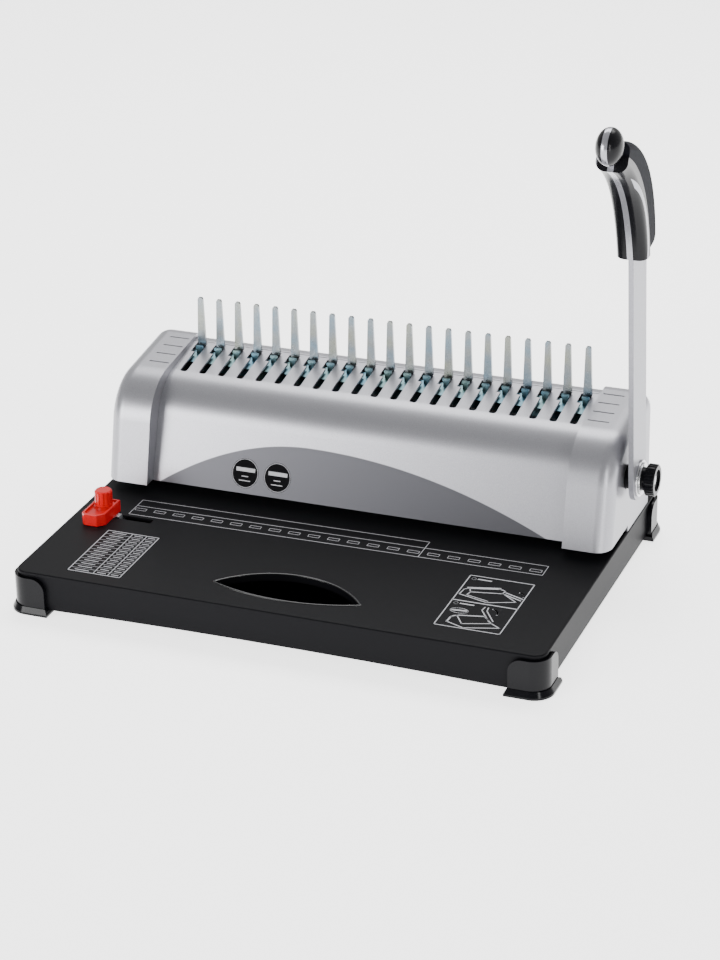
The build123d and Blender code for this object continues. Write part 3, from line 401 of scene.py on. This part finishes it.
def print_table():
    """The capacity table, as a plain grid with a short dash in each cell instead of text."""
    marks = Print(on_top)
    columns = (-149.8, -131.5, -121.0, -112.2)
    front, rear, rows = -118.2, -55.6, 13
    left, right = columns[0], columns[-1]
    marks.box(left, front, right, rear, 0.6)
    for u in columns[1:-1]:
        marks.line([(u, front), (u, rear)], 0.5)
    height = (rear - front) / rows
    for i in range(rows):
        v = front + height * i
        if i:
            marks.line([(left, v), (right, v)], 0.2)
        for u0, u1 in zip(columns, columns[1:]):
            middle, half = (u0 + u1) / 2, (u1 - u0) * 0.26
            marks.line([(middle - half, v + height / 2), (middle + half, v + height / 2)], 0.7)
    marks.finish("table_print", "white_print")


def print_pictograms():
    """Two small pictures of the machine in a frame, each with its lever and a curved arrow."""
    marks = Print(on_top)
    left, right, front, middle, rear = 104.5, 148.4, -111.0, -75.0, -38.7
    marks.box(left, front, right, rear, 0.7)
    marks.line([(left, middle), (right, middle)], 1.0)
    # rear picture: the machine with its lever down
    marks.line([(109.5, -56.5), (128.5, -51.5)], 2.4)
    marks.line([(106.2, -66.5), (107.0, -59.0), (110.0, -56.5), (112.2, -61.5), (111, -66)], 0.7)
    marks.line([(106.2, -66.5), (127.0, -72.5), (144.5, -66.0), (134.0, -58.0)], 0.8)
    marks.line([(111, -66), (127.0, -70.5)], 0.6)
    marks.line([(112.2, -61.5), (132.5, -57.5), (133.5, -53.5), (128.5, -51.5)], 0.8)
    marks.line([(134.5, -55.5), (147.0, -60.5)], 1.0)
    marks.line([(134.5, -58.0), (146.5, -63.0)], 1.0)
    marks.arc(141.5, -58.0, 5.5, 5.5, 5, 75, 1.1)
    # front picture: the machine with its lever up, and an open ring comb
    marks.line([(111.0, -105.0), (111.5, -97.6), (114.5, -95.0), (131.7, -91.1)], 1.2)
    marks.line([(111.0, -105.0), (123.7, -110.0), (145.7, -103.3), (138.9, -98.9)], 0.8)
    marks.line([(114.5, -95.0), (121.0, -105.0), (138.9, -98.9), (131.7, -91.1)], 0.8)
    marks.line([(128.0, -79.0), (127.4, -83.5), (136.5, -97.0)], 0.8)
    marks.line([(130.4, -79.0), (130.8, -83.5), (139.0, -96.0)], 0.8)
    marks.arc(133.0, -86.6, 5.5, 6.5, 0, 80, 1.1)
    marks.arc(113.8, -88.5, 6.0, 3.4, 0, 360, 0.6, 24)
    marks.line([(109.5, -88.8), (118, -87.8)], 1.8)
    # a ring and a bar at the head of each picture, instead of a number and a word
    for v in (-43.0, -79.0):
        marks.arc(108.3, v, 1.4, 1.4, 0, 360, 0.45)
        marks.line([(111.5, v + 0.1), (120.0, v + 0.1)], 1.3)
    marks.finish("pictogram_print", "white_print")


# ---- marks on the front of the middle cover ----
def on_front(u, v, h):
    """A point on the cover's front: u from the middle, v the height, h out of the face."""
    run, rise = COVER_KNEE_Y - COVER_FOOT_Y, COVER_KNEE_Z - COVER_FOOT_Z
    depth = COVER_FOOT_Y + run * (v - COVER_FOOT_Z) / rise
    lean = math.atan2(run, rise)
    return (MID_X + u, depth - h * math.cos(lean), v + h * math.sin(lean))


def print_discs():
    """Two round labels with plain bars instead of figures and words."""
    discs, rings = Print(on_front), Print(on_front, PRINT_T)
    height, disc_r, ring_r = 48, 10.0, 9.5
    for u in (-82.3, -58.2):
        discs.disc(u, height, disc_r)
        rings.arc(u, height, ring_r, ring_r, 0, 360, 0.35, 48)
        rings.line([(u - 5.5, height + 2.4), (u + 6.0, height + 2.4)], 2.6)
        for drop, half in ((2.1, 2.2), (5.0, 4.0)):
            rings.line([(u - half, height - drop), (u + half, height - drop)], 0.6)
    discs.finish("label_discs", "black_print")
    rings.finish("label_rings", "white_print")


# ---- rolled rim of the finger opening ----
def well_point(side, t):
    """A point of the finger opening's edge: side is the rear (1) or front (-1) arc and t runs along it."""
    rise = WELL_REAR if side > 0 else WELL_FRONT
    radius = (WELL_HALF ** 2 + rise ** 2) / (2 * rise)
    a = (2 * t - 1) * math.asin(WELL_HALF / radius)
    return radius * math.sin(a), WELL_Y + side * (rise - radius + radius * math.cos(a))


def make_well_rim():
    """A half-round bead along the edge of the finger opening."""
    steps, turns = 40, 8
    lift = 0.02                                   # the bead's edges stand this far above the top
    outward = WELL_BEAD * 0.6                     # and its middle this far from the edge
    path = [well_point(1, i / steps) for i in range(steps)]
    path += [well_point(-1, 1 - i / steps) for i in range(steps)]
    verts, faces = [], []
    n = len(path)
    for i, (u, v) in enumerate(path):
        (u0, v0), (u1, v1) = path[i - 1], path[(i + 1) % n]
        length = math.hypot(u1 - u0, v1 - v0)
        out_u, out_v = -(v1 - v0) / length, (u1 - u0) / length
        for k in range(turns + 1):
            a = math.pi * k / turns
            off = WELL_BEAD * math.cos(a) + outward
            verts.append(on_top(u + out_u * off, v + out_v * off, WELL_BEAD_H * math.sin(a) + lift))
    for i in range(n):
        for k in range(turns):
            a, b = i * (turns + 1) + k, ((i + 1) % n) * (turns + 1) + k
            faces.append([a, a + 1, b + 1, b])
    rim = add_piece("lens_lip", verts, faces, "black_lip")
    rim.data.polygons.foreach_set("use_smooth", [True] * len(rim.data.polygons))


# ---- floor, surround, camera and lights ----
def make_floor():
    mat = make_plain("floor", (0.9, 0.9, 0.9), 0.6, grain=3, vary=0.01, bump=0, shine=0.2)
    glow = mat.node_tree.nodes["Principled BSDF"].inputs
    glow["Emission Color"].default_value = (*WHITE, 1)
    glow["Emission Strength"].default_value = FLOOR_GLOW
    s = FLOOR_HALF
    link_mesh("floor", [(-s, -s, 0), (s, -s, 0), (s, s, 0), (-s, s, 0)], [(0, 1, 2, 3)], mat)


def make_world():
    """A pale surround, darker in front, so that the silver cover shades softly."""
    world = bpy.data.worlds.new("studio")
    bpy.context.scene.world = world
    world.use_nodes = True
    nds, lks = world.node_tree.nodes, world.node_tree.links
    depth = split_coordinates(nds, lks, "Generated")["Y"]
    level = map_range(nds, lks, depth, WORLD_DARK, WORLD_LIGHT, *WORLD_SPAN)
    lks.new(level, nds["Background"].inputs["Strength"])
    nds["Background"].inputs["Color"].default_value = (*WHITE, 1)


def make_camera():
    """The main view, from the front right and above."""
    azimuth, elevation, roll = (math.radians(a) for a in (CAMERA_AZIMUTH, CAMERA_ELEVATION, CAMERA_ROLL))
    back = Vector((math.sin(azimuth) * math.cos(elevation), -math.cos(azimuth) * math.cos(elevation),
                   math.sin(elevation)))
    right = (-back).cross(Vector((0, 0, 1))).normalized()
    up = right.cross(-back)
    across = math.cos(roll) * right + math.sin(roll) * up
    above = -math.sin(roll) * right + math.cos(roll) * up
    data = bpy.data.cameras.new("camera")
    data.sensor_fit = "AUTO"
    data.sensor_width = CAMERA_SENSOR
    data.lens = CAMERA_LENS
    data.clip_end = CAMERA_FAR
    obj = bpy.data.objects.new("camera", data)
    bpy.context.scene.collection.objects.link(obj)
    turn = Matrix((across, above, back)).transposed().to_4x4()
    obj.matrix_world = Matrix.Translation(Vector(CAMERA_AT) * MM) @ turn
    bpy.context.scene.camera = obj


def add_area(name, place, target, size, power):
    data = bpy.data.lights.new(name, "AREA")
    data.shape = "RECTANGLE"
    data.size, data.size_y = size
    data.energy = power
    obj = bpy.data.objects.new(name, data)
    bpy.context.scene.collection.objects.link(obj)
    obj.location = place
    obj.rotation_euler = (Vector(target) - Vector(place)).to_track_quat("-Z", "Y").to_euler()


finish_nodes()
print_ruler()
print_table()
print_pictograms()
print_discs()
make_well_rim()
make_floor()
make_world()
make_camera()
for light in AREA_LIGHTS:
    add_area(*light)
